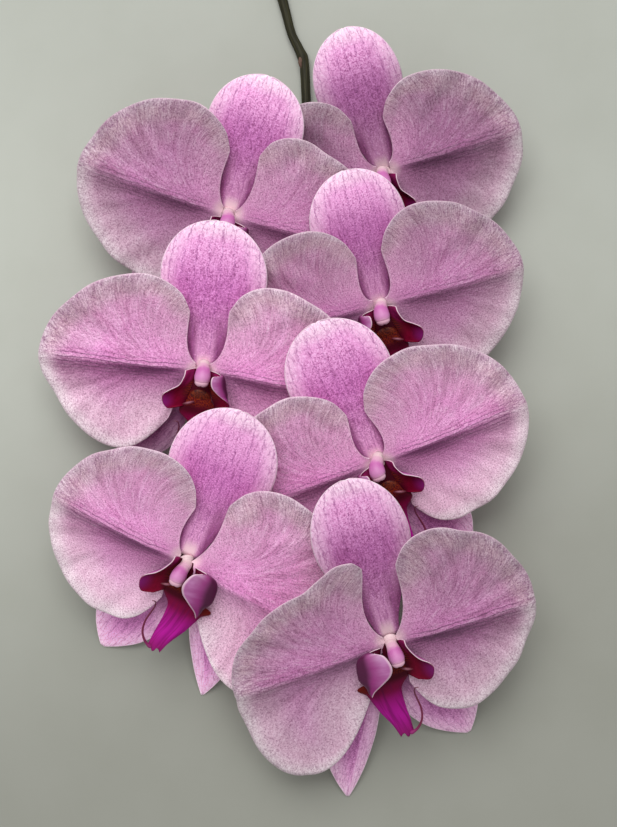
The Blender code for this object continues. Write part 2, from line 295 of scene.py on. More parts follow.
def layColours(add, base, colours, masks, *layers):
    # each layer goes over the ones before: its colour, the masks that hold it back, its blend
    for colour, names, *blend in layers:
        held, *others = [masks[name] for name in names.split()]
        for mask in others:
            held = add("Math MULTIPLY", {0: held, 1: mask})
        base = add("Mix", {
            "data_type": "RGBA", "blend_type": (blend or ["MIX"])[0], 0: held, 6: base,
            7: toLinear(colours[colour]) if isinstance(colour, str) else colour}, 2)
    return base


def stretchedNoise(add, source, size, detail, rough):
    # cells drawn out along the veins: their width and length
    laid = add("VectorMath MULTIPLY", {0: source, 1: (1 / size[0], 1 / size[1], 1)})
    return add("TexNoise", {"Scale": 1, "Detail": detail, "Roughness": rough, "Vector": laid})


def veinNet(add, source, spot, finish, detail, rough):
    # how far a place is from the nearest line of a wandering net, in cells
    (wide, long), (sway, swayLong) = finish["netSize"], finish["netSway"]
    warp = add("TexNoise", {
        "Scale": 1 / swayLong, "Detail": detail, "Roughness": rough, "Vector": spot}, "Color")
    bent = add("VectorMath MULTIPLY_ADD", {0: warp, 1: (sway, sway, 0), 2: source})
    cells = add("VectorMath MULTIPLY", {0: bent, 1: (1 / wide, 1 / long, 1)})
    return add("TexVoronoi", {
        "voronoi_dimensions": "2D", "feature": "DISTANCE_TO_EDGE", "Scale": 1, "Vector": cells})


def tubeSkin(name, finish, stops, **others):
    # the colour runs along a round piece, swayed a little where its finish says so
    skin, add = newSkin(name)
    (rolled, turn, share, seed), (spot, x, y, z) = readNumbers(add, "pattern", "spot")
    if "sway" in finish:
        cloud = add("TexNoise", {"Scale": 1 / finish["cloud"], "Detail": 3, "Vector": spot})
        share = add("Math MULTIPLY_ADD", {0: cloud, 1: finish["sway"], 2: share})
    colour = add("ValToRGB", {0: share, "stops": finish[stops]})
    return finishSkin(skin, add, colour, finish, **others)


def speckledSkin(name, finish, stops, numbers, rough, **others):
    # the same small specks all over
    skin, add = newSkin(name)
    (spot, *rest), = readNumbers(add, numbers)
    speck = add("TexNoise", {
        "Scale": 1 / finish["speck"], "Detail": 2, "Roughness": rough, "Vector": spot})
    colour = add("ValToRGB", {0: speck, "stops": finish[stops]})
    return finishSkin(skin, add, colour, finish, **others)


print("helpers ready")


# petals

petalShape = dict(
    grid=(140, 50),
    thickness=1.5,  # mm at the claw; the blade is about half of it, the rim less
    level=0.45,
    start=2.4,  # mm from the bloom's middle to the claw
    inward=0.9,  # mm that the claw starts further in than the CAD's
    claw=2.2,  # mm, half the claw's width
    rise=2.5,  # mm that the claw rises before it spreads
    waist=0.44,  # how much narrower the fan is near the claw
    upper=((0, 1), (0.1, 0.99), (0.3, 0.915), (0.58, 0.79), (0.8, 0.672), (0.95, 0.51), (1, 0.39)),
    lower=((0, 1), (0.1, 0.985), (0.3, 0.9), (0.6, 0.74), (0.86, 0.56), (1, 0.37)),
    cup=5.5,  # mm that a half rises 40 mm from the midrib
    fall=3,  # mm that the tip falls 55 mm out
    valley=2,  # mm that the crease lies below the halves beside it
    ridge=0.25,  # mm, the thin fold that stands up in it
    step=0.4,  # mm that the blade drops just below the crease
    round=1.2,  # mm that the crease is rounded over
    ripple=0.4,  # mm, the margin's shallow folds
    pleat=0.16,  # mm, the finer folds along the veins
    bend=1.2,  # how strongly the veins bend away to the margin
)


def petalPlace(row, crease, side, seed, toneAndShading):
    reach, turn, upperSpan, lowerSpan, upperFull, lowerFull, corner, tip = row
    lift, slope, depth = crease
    angle = radians(turn if side > 0 else 180 - turn)
    s = petalShape
    reach += s["inward"]

    def place(u, v):
        share = sin(abs(u) * pi / 2)
        span = radians(upperSpan if u > 0 else lowerSpan)
        if u > 0:
            rim = through(s["upper"], share) + upperFull * 0.1 * sin(pi * share**1.5)
            rim += corner * smooth(0.6, 1, share)
        else:
            rim = through(s["lower"], share) + lowerFull * 0.1 * sin(pi * share**2)
            rim += tip * sin(pi * min(1, share / 0.7))
        fan = copysign(span * share, u)
        rim *= 1 + 0.006 * sin(7 * fan + seed) + 0.003 * sin(17 * fan + 2 * seed)
        narrow = s["waist"] * (1 - v) ** 1.5
        fan *= 1 - narrow * share
        out = v**1.2 * reach * rim
        x = out * cos(fan)
        y = out * sin(fan) + (1 - v) * u * s["claw"] + (1 - v) ** 3 * lift
        toRim = (1 - v**1.2) * reach * rim
        edge = min(toRim, out * (span * (1 - narrow) - abs(fan)) + 0.1)
        out = hypot(x, y)
        above = y - lift - slope * x
        vein = fan / (max(out, 4) / 45) ** s["bend"] * 50
        wave = sin(fan * 13 + seed) + 0.6 * sin(fan * 23 + 3 * seed)
        pleat = sin(vein * 0.75 + seed) + 0.7 * sin(vein * 0.47 + 2 * seed)
        fade = smooth(3, 14, out) * (1 - 0.85 * smooth(0.3, 0.85, out / reach))
        fade *= smooth(0, 6, toRim) * (0.2 + 0.8 * depth)
        aside = hypot(above, s["round"]) - s["round"]
        below = (hypot(above, s["round"]) - above) / 2
        z = (s["level"] + s["rise"] * (1 - exp(-out / 7))
             - s["valley"] * tanh(out / 12) * tanh(aside / 6)
             + s["cup"] * (y / 40) ** 2
             - s["fall"] * (x / 55) ** 2
             + s["ridge"] * exp(-(above / 2.5) ** 2) * fade
             - s["step"] * tanh(below / 3.2) * exp(min(0, above) / 14) * fade
             + s["ripple"] * wave * smooth(0.45, 1, v) * smooth(3, 14, abs(y))
             + s["pleat"] * pleat * smooth(24, 40, out) * smooth(0, 3, edge))
        point = Vector((side * (s["start"] + x * cos(angle) - y * sin(angle)),
                        x * sin(angle) + y * cos(angle) + 0.8, z))
        thick = 0.2 + 0.36 * smooth(0, 2.5, edge) + 0.44 * (1 - smooth(2, 14, out))
        # painted light and shade: the piece's tone, with a dark piece less dark at its margin
        shade = toneAndShading + max(0, 1 - toneAndShading) * 0.6 * (1 - smooth(1, 14, edge))
        return (point, thick, (vein + seed * 40, out, shade), (x, y, seed * 10),
                (edge, above, depth))

    return place


# petal skin: living petal, rows of tiny domed cells over fine veins, a soft satin whose sparkle is
# painted highlight;
# darker below the crease, partly its own colour and partly painted shade, and greyer towards the
# margin
petalFinish = dict(
    # from the margin to well inside, above the crease and below it; the upper half's greyer margin
    # is partly its own colour and partly painted shade
    upper=((0, "#cbb4c0"), (0.2, "#d2acbc"), (0.5, "#dc9cc5"), (1, "#e095c9")),
    lower=((0, "#e0ced5"), (0.35, "#dfb5cc"), (1, "#dc9ec8")),
    # wedge: plum below the crease, partly the petal's own colour and partly painted shade; below:
    # painted shade below the crease; fold: dark lines there, partly veins and partly painted shade
    claw="#efcad4", bright="#bc62a4", wedge="#561848", below="#a66a9a", fold="#5c3054",
    # glint: painted highlight; dusk: grey clouds on the upper half, and painted shade in the broad
    # bands
    net="#864878", rim="#e4ccd6", dusk="#c09ab0", spark="#fbe6f4", glint="#ffffff",
    roughness=0.55, gloss=0.35, sheen=0.1,
    # sizes in mm; width and length
    streaks=((0.9, 0, 0), (2.2, 33, 41), (5.5, 18, 25)),  # width, the radii it changes over
    streakLong=4.5,
    bandSize=(6, 16),  # broad bands along the veins, painted light and shade
    netSize=(1.25, 6),  # the cells between the finest veins
    netSway=(1.5, 2),  # how far they wander, and over what length
    grain=0.55,  # drawn coarser than the real cells, which are 0.05 mm
    cloud=9.09,
    veinGap=1.5,
    inside=25,  # from the margin to where the inner colour is full
    relief=(0.4, 0.25),  # how strong, and how deep
)


def petalSkin():
    f = petalFinish
    skin, add = newSkin("livingPetal")
    (fanned, vein, out, toneAndShading), (spot, x, y, seed), (edges, edge, above, depth) = readNumbers(
        add, "pattern", "spot", "margin")

    # the skin's grain, wandering colour, and streaks and bands along the veins
    grain = add("TexNoise", {
        "Scale": 1 / f["grain"], "Detail": 2, "Roughness": 0.8, "Vector": spot})
    cloud = add("TexNoise", {
        "Scale": 1 / f["cloud"], "Detail": 3, "Roughness": 0.6, "Vector": spot})
    streak = None
    for wide, low, high in f["streaks"]:
        found = stretchedNoise(add, fanned, (wide, f["streakLong"]), 3, 0.65)
        if streak is not None:
            near = readMasks(add, near=(out, low, high, 1, 0))["near"]
            found = add("Mix", {0: near, 2: streak, 3: found})
        streak = found
    broad = stretchedNoise(add, fanned, f["bandSize"], 2, 0.5)
    ridge = add("Math SUBTRACT", {0: streak, 1: 0.5})
    ridge = add("Math ABSOLUTE", {0: ridge})
    net = veinNet(add, fanned, spot, f, 2, 0.5)
    wander = add("Math MULTIPLY_ADD", {0: cloud, 1: 3, 2: above})
    lines = add("Math PINGPONG", {0: wander, 1: f["veinGap"] / 2})
    wide = readMasks(add, wide=(out, 2, 24, 2.2, 8))["wide"]
    deep = add("Math DIVIDE", {0: above, 1: wide})

    # inner: how deep inside the blade a place looks; all of it near the claw does
    claw = readMasks(add, claw=(out, 8, 34, 16, 0))["claw"]
    inner = add("Math ADD", {0: edge, 1: claw})
    inward = add("Math MULTIPLY", {0: inner, 1: 1 / f["inside"]})
    upper = add("ValToRGB", {0: inward, "stops": f["upper"]})
    lower = add("ValToRGB", {0: inward, "stops": f["lower"]})

    masks = readMasks(
        add, upper=(above, -1.5, 1.5, 0, 1), half=(above, -6, 2, 0.45, 1),
        grainLow=(grain, 0.32, 0.5, 0.6, 0), grainHigh=(grain, 0.52, 0.7, 0, 0.68),
        broadLow=(broad, 0.32, 0.52, 0.32, 0), broadHigh=(broad, 0.5, 0.7, 0, 0.22),
        broadOut=(out, 10, 30, 0, 1), streakLow=(streak, 0.34, 0.46, 0.7, 0),
        streakHigh=(streak, 0.52, 0.66, 0, 0.28), streakIn=(inner, 1, 24, 0.68, 0.6),
        ridge=(ridge, 0, 0.024, 0.75, 0), ridgeOut=(inner, 0.5, 20, 0.7, 0.6),
        aboveCrease=(above, 0, 9, 0.5, 0), wedge=(deep, -1, -0.1, 0, 0.9),
        below=(above, -22, -2, 0, 0.72), wedgeTop=(above, -1, 0.4, 1, 0),
        wedgeOut=(out, 16, 42, 1, 0.1), fold=(above, -1.1, -0.1, 0, 1),
        foldOut=(out, 14, 44, 0.2, 0), inBlade=(inner, 2, 10, 0, 1), offClaw=(out, 2, 9, 0, 1),
        nearCrease=(above, -9, -1, 0, 0.85), justAbove=(above, 0.5, 5, 1, 0),
        line=(lines, 0.05, 0.3, 0.85, 0), netLine=(net, 0, 0.12, 0.5, 0),
        netOut=(inner, 1, 18, 1, 0.4), claw=(out, 0.8, 5, 0.9, 0), rim=(edge, 0.1, 0.5, 0.3, 0),
        rimOut=(out, 6, 20, 0.3, 1), clouded=(cloud, 0.42, 0.62, 0, 0.6),
        cloudOut=(inner, 2, 16, 1, 0.3),
    )
    masks["depth"] = depth
    body = layColours(
        add, lower, f, masks,
        (upper, "upper"),
        ("bright", "aboveCrease upper inBlade offClaw"),
        ("dusk", "clouded cloudOut upper"),
        # painted shade: the blade is darker below the crease
        ("below", "below wedgeTop inBlade depth", "MULTIPLY"),
        # painted shade and light in broad bands along the veins
        ("dusk", "broadLow broadOut half", "MULTIPLY"),
        ("glint", "broadHigh broadOut half", "SOFT_LIGHT"),
        ("net", "streakLow streakIn half", "MULTIPLY"),
        ("spark", "streakHigh streakIn half"),
        # a plum wedge below the crease: partly its own colour and partly painted shade
        ("wedge", "wedge wedgeTop offClaw inBlade wedgeOut depth"),
        # dark lines below the crease, partly veins and partly painted shade, then a painted shadow
        # line in the fold just under it
        ("fold", "line nearCrease justAbove inBlade offClaw depth"),
        ("fold", "fold wedgeTop foldOut offClaw"),
        ("net", "ridge ridgeOut half"),
        ("net", "netLine netOut half"),
        ("net", "grainLow offClaw", "MULTIPLY"),
        # painted highlight: pale specks for the sparkle of the cells
        ("glint", "grainHigh", "SOFT_LIGHT"),
        ("claw", "claw"),
        ("rim", "rim rimOut"),
    )
    height = add("Math MULTIPLY_ADD", {0: streak, 1: 0.8, 2: grain})
    return finishSkin(skin, add, body, f, toneAndShading, height)


print("petals ready")

# sepals

sepalShape = dict(
    grid=(48, 52),
    thickness=0.9,
    level=-0.75,
    widest=0.62,  # share of a dorsal sepal's length where it is widest
    base=0.25,  # share of that width at its base
    tip=0.9985,  # where it ends, just short of a point
    fall=4,  # mm that the dorsal's tip falls
    cup=2.5,  # mm that its edges fall, and how far a lateral's do
    lateralCup=2,
    lateralOutline=((0, 0.14), (0.25, 0.6), (0.5, 0.97), (0.62, 1), (0.78, 0.78), (0.9, 0.44),
                    (1, 0.06)),
    lateralStart=(2.6, -2.6),
    lateralPale=(0.85, 0.93),  # a lateral's skin is read a little further out and further down
)


def dorsalPlace(row, seed, toneAndShading):
    length, halfWidth = row
    s = sepalShape

    def place(u, v):
        t = sin(v * pi / 2) * s["tip"]
        if t < s["widest"]:
            share = s["base"] + (1 - s["base"]) * sin(pi / 2 * t / s["widest"]) ** 2
        else:
            share = sqrt(1 - ((t - s["widest"]) / (1 - s["widest"])) ** 2)
        z = (s["level"] + t - s["fall"] * t**3 - s["cup"] * (u * share) ** 2
             + 0.25 * sin(5 * u + seed) * sin(6 * t + seed) * smooth(0.3, 0.8, t))
        width = share * halfWidth
        x = u * width
        y = t * length
        edge = min((1 - abs(u)) * width, (1 - t) * length * 1.1)
        thick = 0.4 + 0.6 * smooth(0, 2.5, edge)
        # painted light and shade: the piece's tone, eased to plain towards the tip
        shade = toneAndShading + (1 - toneAndShading) * smooth(0.5, 0.95, t)
        return (Vector((x, 0.6 + y, z)), thick, (x, y, shade), (x, y, seed * 10),
                (edge, u * (0.3 + 0.7 * share), t))

    return place


def lateralPlace(row, seed, toneAndShading):
    length, halfWidth, turn, hook, inner, droop = row
    s = sepalShape
    side = copysign(1, turn)
    down = radians(turn - 90)
    paleEdge, paleEnd = s["lateralPale"]

    def place(u, v):
        # the inner half is the one with u * side < 0
        share = through(s["lateralOutline"], v)
        width = halfWidth * (1 if u * side > 0 else 1 - (1 - inner) * min(1, 4 * v))
        z = s["level"] - droop * (0.3 * v + 0.7 * v**2) - s["lateralCup"] * (u * share) ** 2
        x = v * length
        across = u * share * width
        y = across - side * hook * length * v**3
        edge = min((1 - abs(u)) * share * width, (1 - v) * length)
        point = Vector((side * s["lateralStart"][0] + x * cos(down) - y * sin(down),
                        s["lateralStart"][1] + x * sin(down) + y * cos(down), z))
        thick = 0.4 + 0.6 * smooth(0, 2.5, edge)
        return (point, thick, (across, x, toneAndShading), (across, x, seed * 10),
                (edge * paleEdge, u * (0.3 + 0.7 * share), v * paleEnd))

    return place


# sepal skin: living sepal, paler towards its rim, with a net of veins that shows there; painted
# shadow darkens its lower flanks, and its sparkle is painted highlight
sepalFinish = dict(
    length=((0.3, "#d28ebe"), (0.55, "#d886c6"), (0.85, "#f2a8de"), (1, "#fcd5ed")),
    base="#ecc6d2", pale="#fcd5ed", vein="#9c4f90", net="#a85e98", dark="#a44e94",
    # side: painted shadow on the lower flanks, where the petals lie over the sepal; glint: painted
    # highlight
    side="#8a3c74", rim="#f4e0ea", glint="#ffffff",
    roughness=0.5, gloss=0.35, sheen=0.1,
    veins=4.2,  # veins from the middle to each edge
    # sizes in mm; width and length
    netSize=(1.8, 3), netSway=(4, 2), streakSize=(0.9, 6),
    grain=0.6, cloud=3.3333, dash=2,
    relief=(0.35, 0.25),
)


def sepalSkin():
    f = sepalFinish
    skin, add = newSkin("livingSepal")
    (laid, across, along, toneAndShading), (spot, x, y, seed), (edges, edge, offMiddle, share) = readNumbers(
        add, "pattern", "spot", "margin")
    grain = add("TexNoise", {
        "Scale": 1 / f["grain"], "Detail": 2, "Roughness": 0.8, "Vector": spot})
    cloud = add("TexNoise", {
        "Scale": 1 / f["cloud"], "Detail": 4, "Roughness": 0.7, "Vector": spot})
    net = veinNet(add, spot, spot, f, 5, 0.7)
    streak = stretchedNoise(add, spot, f["streakSize"], 3, 0.6)
    broken = add("TexNoise", {"Scale": 1 / f["dash"], "Detail": 1, "Vector": spot})
    wander = add("Math MULTIPLY", {0: cloud, 1: 0.9})
    veinAt = add("Math MULTIPLY_ADD", {0: offMiddle, 1: f["veins"], 2: wander})
    veinAt = add("Math PINGPONG", {0: veinAt, 1: 0.5})
    aside = add("Math ABSOLUTE", {0: across})
    body = add("ValToRGB", {0: share, "stops": f["length"]})
    masks = readMasks(
        add, grainLow=(grain, 0.32, 0.52, 0.8, 0), grainHigh=(grain, 0.52, 0.7, 0, 0.85),
        paleBand=(edge, 0, 9, 0.65, 0), inside=(edge, 2, 12, 0.1, 1),
        darkLow=(share, 0.15, 0.35, 0, 1), darkHigh=(share, 0.55, 0.88, 0.7, 0),
        darkCloud=(cloud, 0.35, 0.65, 0.5, 0.85), streak=(streak, 0.34, 0.5, 0.4, 0),
        vein=(veinAt, 0.01, 0.08, 0.7, 0), dashed=(broken, 0.4, 0.55, 0.3, 1),
        netLine=(net, 0, 0.12, 0.65, 0), netBroken=(broken, 0.4, 0.6, 1, 0.3),
        netOut=(edge, 3, 13, 1, 0.15), netHigh=(share, 0.3, 0.45, 0, 1),
        rim=(edge, 0.1, 0.5, 0.6, 0), foot=(share, 0.04, 0.13, 1, 0),
        footMiddle=(aside, 1.4, 3.4, 1, 0), flank=(aside, 1.8, 5, 0, 0.9),
        flankLow=(share, 0.2, 0.48, 1, 0),
    )
    body = layColours(
        add, body, f, masks,
        ("pale", "paleBand netHigh"),
        ("dark", "inside darkLow darkHigh darkCloud"),
        # painted shadow on the lower flanks, under the petals' edges
        ("side", "flank flankLow"),
        ("vein", "streak", "MULTIPLY"),
        ("vein", "vein dashed"),
        ("net", "netLine netBroken netOut netHigh"),
        ("dark", "grainLow inside", "MULTIPLY"),
        # painted highlight: pale specks for the sparkle of the cells
        ("glint", "grainHigh", "SOFT_LIGHT"),
        ("base", "foot footMiddle"),
        ("rim", "rim netHigh"),
    )
    return finishSkin(skin, add, body, f, toneAndShading, grain)


# the backs and rims of petals and sepals: the same tissue with less colour in it; sizes in mm
backFinish = dict(
    back=((0.35, "#dcb9cf"), (0.62, "#b9819f")), rim=((0.35, "#dcc0cc"), (0.7, "#dcb9cf")),
    roughness=0.6, gloss=0.3, sheen=0.1, veinSize=(2, 8.3333), speck=1.25, relief=(0.3, 0.2),
)


def backSkin():
    f = backFinish
    skin, add = newSkin("petalBack")
    (fanned, *others), = readNumbers(add, "pattern")
    vein = stretchedNoise(add, fanned, f["veinSize"], 4, 0.6)
    body = add("ValToRGB", {0: vein, "stops": f["back"]})
    return finishSkin(skin, add, body, f, height=vein)


print("sepals ready")

# lips, for a bloom right of the stem; one left of it is the mirror image
# those of the two lowest blooms are turned further away from the stem

lipShape = dict(
    grid=(36, 64),
    thickness=1.1,
    lobe=dict(grid=(32, 44), thickness=0.5),
    # floor: (x, y, z, half width) from the hinge under the column to the tip
    # lobes: the root on the floor, the free margin, and how far the middle bulges
    open=dict(
        floor=((0, 0.6, 0.8, 3.6), (-0.1, -4, 2.4, 4), (-0.2, -8.2, 3.4, 4.4),
               (-0.4, -12.6, 4.2, 6.6), (-2, -15.8, 4.6, 8.4), (-3, -19, 5, 6),
               (-3.2, -22.5, 5.6, 5), (-3, -28, 7, 4), (-2.4, -33, 8.3, 3),
               (-1.6, -37, 9.4, 2.3)),
        inner=(((-2.4, 1.6, 1.6), (-3.4, -3.4, 2.6), (-5.2, -8, 4.2), (-7, -12.6, 4.4)),
               ((-8.2, 2.2, 8.5), (-5.6, 2.4, 11), (-5.8, -1, 12), (-8.6, -4.4, 11),
                (-12.6, -8, 9.5), (-11.5, -12.4, 7.5)),
               (-6.4, 0, -0.5)),
        outer=(((2.2, 1.6, 1.6), (2.6, -3, 2.6), (3.6, -7.6, 4), (4.8, -13, 4.4)),
               ((5, 2.6, 8.5), (5.2, 0.4, 9.5), (6.8, -3.2, 9.5), (10, -5.6, 9.5),
                (12.4, -7.8, 9.5), (12.4, -11, 9), (10.6, -13.6, 8), (7.6, -13.4, 6.4)),
               (0.4, 0, -2)),
    ),
    turned=dict(
        floor=((0, -1, 0.8, 3.8), (-0.2, -4.4, 2.4, 4), (-0.8, -8.2, 3.4, 4.2),
               (-2.2, -12.6, 4.4, 5.6), (-7.2, -15.4, 4.6, 9.9), (-7.5, -19, 5, 6.9),
               (-7.2, -22.2, 5.6, 5.9), (-6.2, -27, 6.6, 4.9), (-4.6, -32.2, 8, 3.6),
               (-3.6, -37.2, 9.4, 2.6)),
        inner=(((-4.2, -1.6, 2.4), (-6, -5.6, 3.6), (-7.2, -9.6, 4.2), (-8.8, -13.6, 5),
                (-12, -18.2, 6.6)),
               ((-7.2, 1.2, 9.5), (-4, 0.2, 11.5), (-2.4, -4.4, 12.5), (-3.6, -8.2, 12.2),
                (-7.4, -11.8, 11), (-10.8, -15.2, 9), (-12.6, -18.6, 7.2)),
               (-11.8, 0, -1.2)),
        outer=(((2.4, -0.6, 1.8), (2.6, -3.4, 2.6), (2.6, -8, 4), (2.8, -14.6, 4.4)),
               ((4.8, 2.6, 8.5), (5, 0.4, 9.5), (6.4, -3.2, 9.5), (8.6, -7, 9), (11.9, -10, 9),
                (12.6, -13.2, 9), (10.6, -17.2, 8), (6, -16.8, 6.4)),
               (0.4, 0, -2)),
    ),
    # the tendril: points from the floor's tip, and radius along it
    tendrilGrid=(12, 60),
    tendril=((0.9, 0.2, 9.6), (4.1, 2, 10.4), (6.7, 5.6, 10.6), (7.6, 10, 10),
             (7.1, 14.4, 9.6), (6.8, 17.4, 9.6), (7.4, 19.4, 10), (8.9, 19.6, 10.4)),
    tendrilRadii=((0, 0.02), (0.02, 0.8), (0.12, 0.52), (0.6, 0.32), (0.98, 0.15), (1, 0.02)),
)


def lipFloorPlace(form, side, seed, toneAndShading):
    rows = [(k / (len(form["floor"]) - 1), Vector(row)) for k, row in enumerate(form["floor"])]

    def place(u, v):
        x, y, z, half = through(rows, v)
        blade = smooth(0.4, 0.6, v)
        groove = 0.5 * exp(-((u * half + 1) / 0.9) ** 2) * blade
        ragged = 0.8 * smooth(0.93, 1, v) * sin(5 * u + 1.2)
        z += 0.4 - (0.10 + 0.12 * blade) * half * u * u - groove
        edge = (1 - abs(u)) * half
        thick = 0.45 + 0.55 * smooth(0, 1.5, edge)
        return (Vector((side * (x + u * half), y - ragged, z)), thick,
                (u * half, v * 36, seed * 10), (x + u * half, y, toneAndShading), (edge, u, v))

    return place


def lobePlace(root, margin, bulge, side, seed, toneAndShading):
    def place(u, v):
        rise = (u + 1) / 2
        point = along(root, v).lerp(along(margin, v), rise)
        swell = 0.25 * (1 - v) + 0.75 * sin(pi * v**0.75) ** 0.8
        swell *= 1 - 0.35 * smooth(0.5, 0.85, v)
        point += Vector(bulge) * (sin(pi * rise) * swell)
        height = (along(margin, v) - along(root, v)).length
        edge = min((1 - rise) * height, v * 18 + 0.3, (1 - v) * 18 + 0.3)
        thick = 0.6 + 0.4 * smooth(0, 1.5, edge) + 0.25 * smooth(0.6, 1, v)
        return (Vector((side * point.x, point.y, point.z)), thick,
                (rise * height, v * 20, seed * 10), (point.x, point.y, toneAndShading), (edge, rise, v))

    return place


# lip flesh: living lip, waxy, so it holds small highlights; dark crimson in the throat
lipFinish = dict(
    floor=((0.38, "#440418"), (0.52, "#720838"), (0.82, "#a6188a"), (1, "#8c1868")),
    face=((0, "#440418"), (0.4, "#720428")),
    back=((0, "#caa2c0"), (0.35, "#c884bc"), (0.85, "#8e1c70")),
    rim=((0.55, "#e6c6d4"), (0.72, "#720428")),
    tendril=((0, "#8c1868"), (0.25, "#6c0a3a"), (0.8, "#5a0e30"), (1, "#7e4858")),
    stripe="#74200f", stripeDark="#340610", vein="#5c0840", patch="#641410", speck="#7e2a0e",
    faceEnd="#7a1c66", faceStart="#ac2c74", faceLow="#4c0210", edge="#e6c6d4",
    # the last colour: painted shade, dark plum on the low far side of a lobe's back
    outerLow="#8e1c70", outerDark="#4c0c38",
    roughness=0.5, gloss=0.08,
    # sizes in mm; width and length
    stripeGap=0.95,  # between the throat's dark lines
    stripeSway=2,
    veinSize=(1.1111, 16.6667), grain=0.5, wobble=2, patchSize=2.857, rimWobble=1.6667,
    relief=(0.25, 0.25),
)


def lipFloorSkin():
    f = lipFinish
    skin, add = newSkin("waxyLip")
    (strip, across, along, seed), (spot, x, y, toneAndShading), (edges, edge, u, share) = readNumbers(
        add, "pattern", "spot", "margin")
    vein = stretchedNoise(add, strip, f["veinSize"], 3, 0.55)
    body = add("ValToRGB", {0: share, "stops": f["floor"]})
    speck = add("TexNoise", {
        "Scale": 1 / f["grain"], "Detail": 2, "Roughness": 0.6, "Vector": strip})
    masks = readMasks(
        add, vein=(vein, 0.46, 0.66, 0, 0.55), veinLow=(share, 0.42, 0.55, 0, 1),
        shoulder=(u, -0.75, -0.5, 1, 0), shoulderHigh=(share, 0.36, 0.42, 0, 1),
        shoulderLow=(share, 0.48, 0.56, 1, 0), speck=(speck, 0.42, 0.58, 0, 0.9),
        speckHigh=(share, 0.16, 0.24, 0, 1), speckLow=(share, 0.28, 0.36, 1, 0),
    )
    body = layColours(
        add, body, f, masks,
        ("vein", "vein veinLow"),
        ("speck", "speck speckHigh speckLow"),
        ("patch", "shoulder shoulderHigh shoulderLow"),
    )
    return finishSkin(skin, add, body, f, toneAndShading, vein)


def lobeFaceSkin():
    # the face towards the column: crimson, purple at its end, with the throat's stripes low down
    f = lipFinish
    skin, add = newSkin("waxyLobeFace")
    (strip, height, along, seed), (edges, edge, rise, share), (spot, x, y, toneAndShading) = readNumbers(
        add, "pattern", "margin", "spot")
    wobble = add("TexNoise", {"Scale": 1 / f["wobble"], "Detail": 2, "Vector": strip})
    bent = add("Math MULTIPLY_ADD", {0: wobble, 1: f["stripeSway"], 2: along})
    line = add("Math PINGPONG", {0: bent, 1: f["stripeGap"] / 2})
    body = add("ValToRGB", {0: rise, "stops": f["face"]})
    masks = readMasks(
        add, line=(line, 0.08, 0.4, 0, 0.8), between=(line, 0.08, 0.4, 0.8, 0),
        low=(rise, 0.05, 0.32, 1, 0), after=(share, 0.28, 0.42, 0, 1),
        before=(share, 0.62, 0.8, 1, 0), upper=(rise, 0.45, 1, 0, 1),
        end=(share, 0.45, 0.72, 0, 1), beforeEnd=(share, 0.72, 0.9, 1, 0),
        wobble=(wobble, 0.35, 0.65, 0, 0.3), rim=(edge, 0.05, 0.35, 0.7, 0),
        rimTop=(share, 0.42, 0.62, 1, 0), start=(share, 0.15, 0.55, 0.9, 0),
        startHigh=(rise, 0, 0.35, 0, 1),
    )
    body = layColours(
        add, body, f, masks,
        ("faceLow", "wobble"),
        ("faceStart", "start startHigh"),
        ("faceEnd", "upper end beforeEnd"),
        ("stripe", "line low after before"),
        ("stripeDark", "between low after before"),
        ("edge", "rim rimTop"),
    )
    return finishSkin(skin, add, body, f, toneAndShading)


def lobeBackSkin():
    # the face away from the column: lilac, magenta low down, with a pale edge, and painted shade,
    # dark plum, on its low far side
    f = lipFinish
    skin, add = newSkin("waxyLobeBack")
    (strip, height, along, seed), (edges, edge, rise, share) = readNumbers(
        add, "pattern", "margin")
    cloud = add("TexNoise", {"Scale": 1 / f["patchSize"], "Detail": 3, "Vector": strip})
    body = add("ValToRGB", {0: share, "stops": f["back"]})
    masks = readMasks(
        add, cloud=(cloud, 0.35, 0.65, 0, 0.5), edge=(edge, 0.05, 0.3, 0.75, 0),
        turning=(rise, 0.79, 0.97, 0.8, 0), low=(rise, 0.69, 0.83, 1, 0),
        lowIn=(share, 0, 0.1, 0.6, 1),
    )
    body = layColours(
        add, body, f, masks,
        ("outerLow", "cloud"),
        ("outerLow", "turning"),
        # painted shade: dark plum on the low far side
        ("outerDark", "low lowIn"),
        ("edge", "edge"),
    )
    return finishSkin(skin, add, body, f, roughness=0.45, gloss=0.3)


def lobeRimSkin():
    # pale along the upper margin, purple around the end
    f = lipFinish
    skin, add = newSkin("waxyLobeRim")
    (strip, height, along, seed), (edges, edge, rise, share) = readNumbers(
        add, "pattern", "margin")
    wobble = add("TexNoise", {"Scale": 1 / f["rimWobble"], "Detail": 2, "Vector": strip})
    shift = add("Math MULTIPLY_ADD", {0: wobble, 1: 0.12, 2: share})
    body = add("ValToRGB", {0: shift, "stops": f["rim"]})
    return finishSkin(skin, add, body, f, roughness=0.4, gloss=0.5)


# callus in the throat: glossy, orange brown with dark specks, and a paler tooth
callusShape = dict(
    grid=(28, 28), centre=(-0.6, -8.4, 3.9), size=(3.8, 2.6, 0.75),
    toothGrid=(14, 24), tooth=((0.6, -9.8, 6.4), (3, -10.5, 7.3), (5.2, -11.4, 7)),
    toothRadii=((0, 0.02), (0.06, 0.3), (0.5, 0.5), (0.94, 0.25), (1, 0.02)),
)
callusFinish = dict(
    callus=((0.42, "#44060c"), (0.58, "#82300f")),
    tooth=((0, "#5c1426"), (0.45, "#8a5060"), (1, "#5c1426")),
    roughness=0.45, gloss=0.3, speck=0.5,  # mm
)


